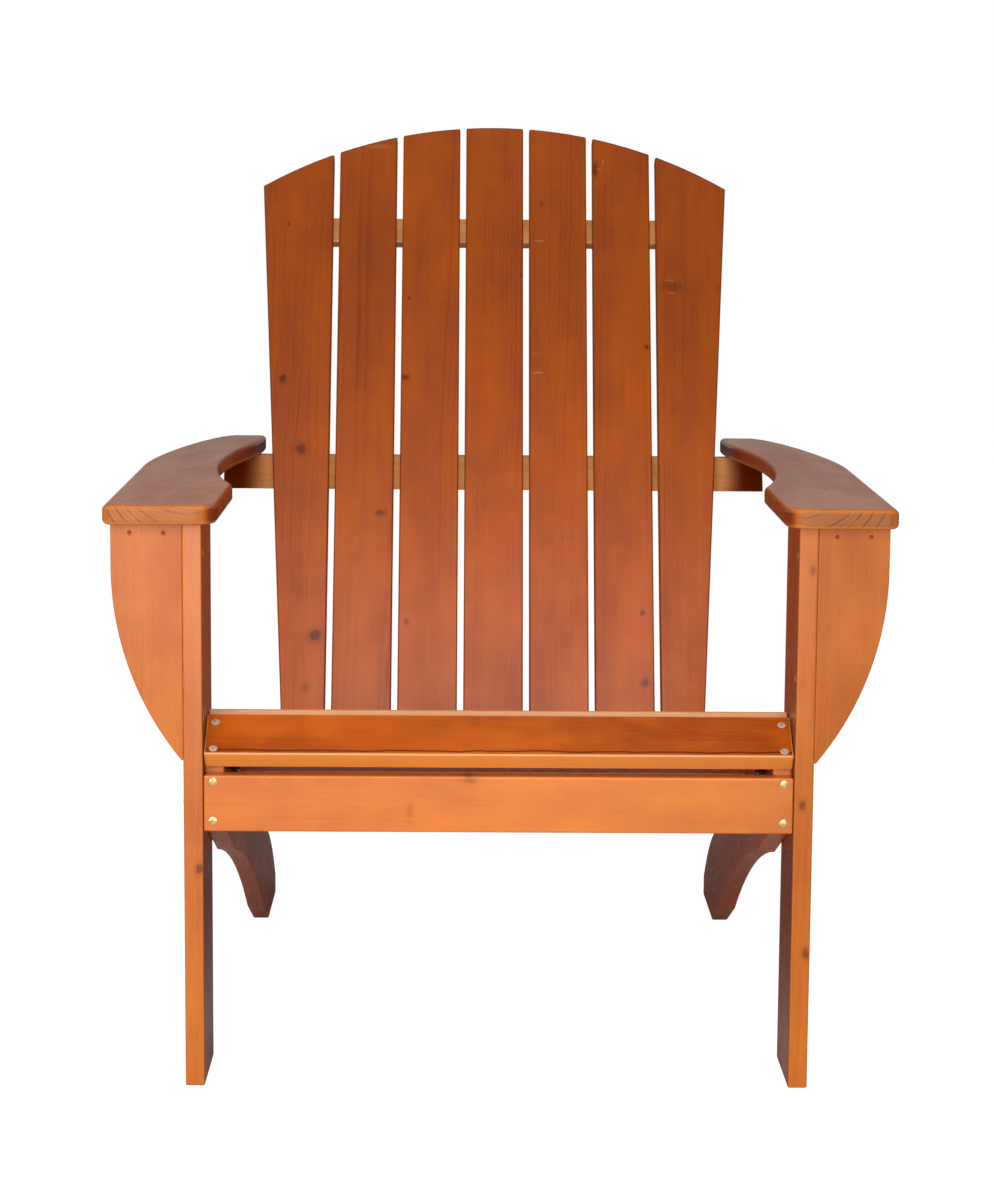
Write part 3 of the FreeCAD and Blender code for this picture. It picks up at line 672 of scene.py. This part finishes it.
# a metal is bright where it is rubbed and dull where it is grimy, in specks 1/scale metres across
metalLooks = {
    "brass_screw": {"bright": (0.80, 0.60, 0.30), "dull": (0.46, 0.28, 0.10), "scale": 500.0,
                    "metallic": 0.85},
    "nickel_screw": {"bright": (0.78, 0.66, 0.50), "dull": (0.46, 0.34, 0.22), "scale": 500.0,
                     "metallic": 0.3},
    "zinc_steel": {"bright": (0.52, 0.53, 0.55), "dull": (0.30, 0.30, 0.31), "scale": 300.0,
                   "metallic": 1.0},
    "dulled_steel": {"bright": (0.16, 0.12, 0.10), "dull": (0.09, 0.06, 0.05), "scale": 300.0,
                     "metallic": 1.0},
    "stained_nail": {"bright": (0.46, 0.13, 0.035), "dull": (0.22, 0.055, 0.015), "scale": 700.0,
                     "metallic": 0.3},
}
metalBump = {"strength": 0.15, "depth": 0.0001}
# all other screws are brass
fastenerMetals = {
    "front_slat_screws": "nickel_screw",
    "leg_bolts": "zinc_steel",
    "leg_nuts": "dulled_steel",
    "leg_washers": "dulled_steel",
    "bracket_nails": "stained_nail",
}


def metalMaterial(name, look):
    material, tree = startMaterial(name)
    place = put(tree, "ShaderNodeTexCoord").outputs["Object"]
    scuffs = useGroup(tree, metalScuffs, {
        "Vector": place, "Bright": shade(look["bright"]), "Dull": shade(look["dull"]),
        "Scale": look["scale"]})
    endMaterial(tree, {
        "Base Color": scuffs["Color"], "Roughness": scuffs["Roughness"], "Metallic": look["metallic"],
        "Normal": bumps(tree, scuffs["Height"], metalBump["strength"], metalBump["depth"])})
    return material


metals = {name: metalMaterial(name, look) for name, look in metalLooks.items()}
for node in nodes:
    if node.endswith("_screws"):
        dress(node, metals["brass_screw"])
for node, metal in fastenerMetals.items():
    dress(node, metals[metal])
print("fasteners finished")


floorLook = {
    "size": 60.0,
    "color": (0.62, 0.62, 0.62),
    "speckle": 0.02,
    "speckleScale": 40.0,
    "roughness": 0.9,
    "gloss": 0.1,
    "lift": 0.93,
}


def makeFloor():
    half = floorLook["size"] / 2
    mesh = bpy.data.meshes.new("floor")
    mesh.from_pydata([(-half, -half, 0), (half, -half, 0), (half, half, 0), (-half, half, 0)],
                     [], [(0, 1, 2, 3)])
    floor = bpy.data.objects.new("floor", mesh)
    bpy.context.scene.collection.objects.link(floor)
    material, tree = startMaterial("pale_floor")
    place = put(tree, "ShaderNodeTexCoord").outputs["Object"]
    feeds = {"Vector": place, "Scale": floorLook["speckleScale"]}
    speckle = put(tree, "ShaderNodeTexNoise", feeds).outputs[0]
    dim = shade(floorLook["color"], 1 - floorLook["speckle"])
    # the camera sees a lit sweep, so that the floor runs on into the backdrop
    seen = put(tree, "ShaderNodeLightPath").outputs["Is Camera Ray"]
    endMaterial(tree, {
        "Base Color": mixColor(tree, speckle, shade(floorLook["color"]), dim),
        "Roughness": floorLook["roughness"], "Specular IOR Level": floorLook["gloss"],
        "Emission Color": (1, 1, 1, 1), "Emission Strength": times(tree, seen, floorLook["lift"])})
    mesh.materials.append(material)


skyLook = {
    "backdrop": (1.0, 1.0, 1.0, 1),
    "horizon": (0.40, 0.40, 0.40, 1),
    "overhead": (0.06, 0.06, 0.06, 1),
    "dimming": (0.20, 0.55),
}


def makeSky():
    world = bpy.data.worlds.new("studio")
    bpy.context.scene.world = world
    world.use_nodes = True
    tree = world.node_tree
    tree.nodes.clear()
    way = put(tree, "ShaderNodeTexCoord").outputs["Generated"]
    rise = ramp(tree, splitVector(tree, way)["Z"], *skyLook["dimming"])
    room = mixColor(tree, rise, skyLook["horizon"], skyLook["overhead"])
    seen = put(tree, "ShaderNodeLightPath").outputs["Is Camera Ray"]
    sky = put(tree, "ShaderNodeBackground", {"Color": mixColor(tree, seen, room, skyLook["backdrop"])})
    put(tree, "ShaderNodeOutputWorld", {"Surface": sky.outputs[0]})


# glow is a lamp's brightness against a white of 1
lamps = (
    {"name": "front_box", "place": (-0.3, -1.95, 1.08), "aim": (-0.3, 0, 1.08), "size": (1.9, 1.95),
     "glow": 3.42, "glossy": True},
    {"name": "left_box", "place": (-1.3, -2.1, 0.8), "aim": (0, 0, 0.5), "size": (0.9, 1.4),
     "glow": 1.4, "glossy": True},
    {"name": "right_box", "place": (1.3, -2.1, 0.8), "aim": (0, 0, 0.5), "size": (0.9, 1.4),
     "glow": 0.7, "glossy": True},
    {"name": "top_box", "place": (0, -0.4, 2.5), "aim": (0, -0.1, 0.4), "size": (1.4, 1.4),
     "glow": 1.5, "glossy": False},
)


def makeLamps():
    for lamp in lamps:
        data = bpy.data.lights.new(lamp["name"], "AREA")
        data.shape = "RECTANGLE"
        data.size, data.size_y = lamp["size"]
        data.energy = lamp["glow"] * math.pi * data.size * data.size_y
        light = bpy.data.objects.new(lamp["name"], data)
        light.location = lamp["place"]
        way = Vector(lamp["aim"]) - Vector(lamp["place"])
        light.rotation_euler = way.to_track_quat("-Z", "Y").to_euler()
        light.visible_camera = False
        light.visible_glossy = lamp["glossy"]
        bpy.context.scene.collection.objects.link(light)


# metres, millimetres of lens and film, and degrees
eye = {"place": (-0.0362, -3.1501, 0.8598), "lens": 88.6, "film": 36.0,
       "yaw": -0.692, "pitch": 8.084, "roll": 0.437}


def makeCamera():
    data = bpy.data.cameras.new("camera")
    data.lens = eye["lens"]
    data.sensor_width = eye["film"]
    camera = bpy.data.objects.new("camera", data)
    turn = Matrix.Rotation(math.radians(eye["yaw"]), 4, "Z")
    turn = turn @ Matrix.Rotation(math.radians(90 - eye["pitch"]), 4, "X")
    turn = turn @ Matrix.Rotation(math.radians(eye["roll"]), 4, "Z")
    camera.matrix_world = Matrix.Translation(eye["place"]) @ turn
    bpy.context.scene.collection.objects.link(camera)
    bpy.context.scene.camera = camera


makeFloor()
makeSky()
makeLamps()
makeCamera()
bpy.context.scene.view_settings.view_transform = "Standard"
print("floor, light and camera placed")
